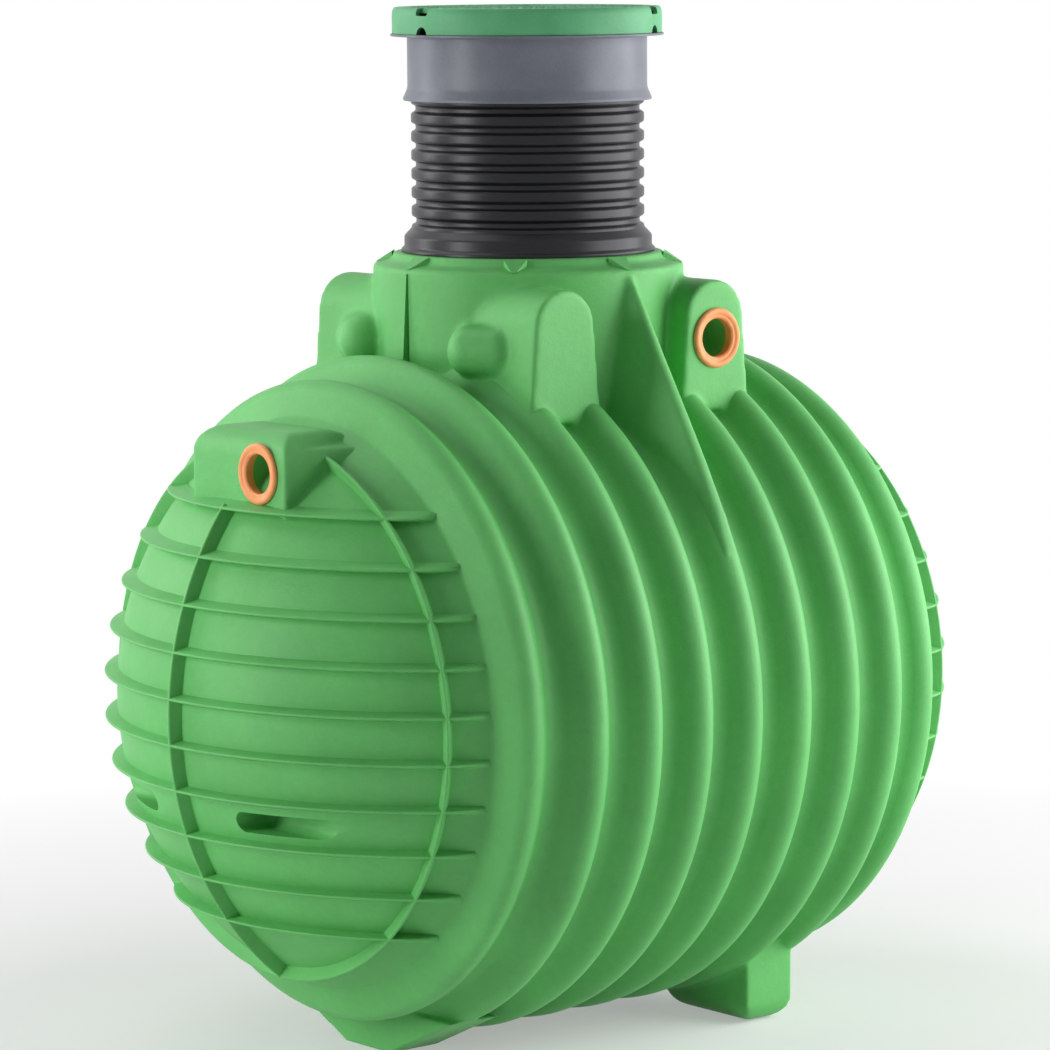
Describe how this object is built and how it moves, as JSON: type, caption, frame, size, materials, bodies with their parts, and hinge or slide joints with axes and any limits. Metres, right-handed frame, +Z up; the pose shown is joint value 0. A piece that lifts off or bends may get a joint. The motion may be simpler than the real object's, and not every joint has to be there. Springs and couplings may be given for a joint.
{
  "type": "rainwater cistern",
  "caption": "Lying ribbed plastic rainwater cistern with domed finned ends, a neck with pipe boxes, a corrugated riser, a sliding collar and a round lid.",
  "frame": {"origin": "on the floor under the middle of the tank", "axes": "+X along the tank's axis away from the inlet end, +Z up the neck and riser"},
  "size_m": [2.6276, 1.9886, 2.994],
  "materials": {
    "tank_plastic": "rotomoulded polyethylene with a fine orange-peel grain",
    "black_plastic": "smooth extruded corrugated pipe",
    "grey_plastic": "smooth moulded collar",
    "lid_plastic": "moulded lid with a grained top",
    "seal_rubber": "soft moulded lip seal"
  },
  "bodies": {
    "root": {"back_end": "tank_plastic", "back_inlet_box": "tank_plastic", "back_rib_grid": "tank_plastic", "barrel_bottom": "tank_plastic", "barrel_lower_far": "tank_plastic", "barrel_lower_near": "tank_plastic", "barrel_top": "tank_plastic", "barrel_upper_far": "tank_plastic", "barrel_upper_near": "tank_plastic", "brace_fin_far": "tank_plastic", "brace_fin_near": "tank_plastic", "collar": "grey_plastic", "front_end": "tank_plastic", "front_foot": "tank_plastic", "front_inlet_box": "tank_plastic", "front_inlet_seal": "seal_rubber", "front_rib_grid": "tank_plastic", "lid": "lid_plastic", "neck": "tank_plastic", "neck_gussets": "tank_plastic", "neck_ridge_back": "tank_plastic", "neck_ridge_front": "tank_plastic", "outlet_seal": "seal_rubber", "pod_back_far": "tank_plastic", "pod_back_near": "tank_plastic", "pod_front_far": "tank_plastic", "pod_front_near": "tank_plastic", "rear_foot_far": "tank_plastic", "rear_foot_near": "tank_plastic", "riser_base": "black_plastic", "riser_pipe": "black_plastic"}
  },
  "joints": []
}
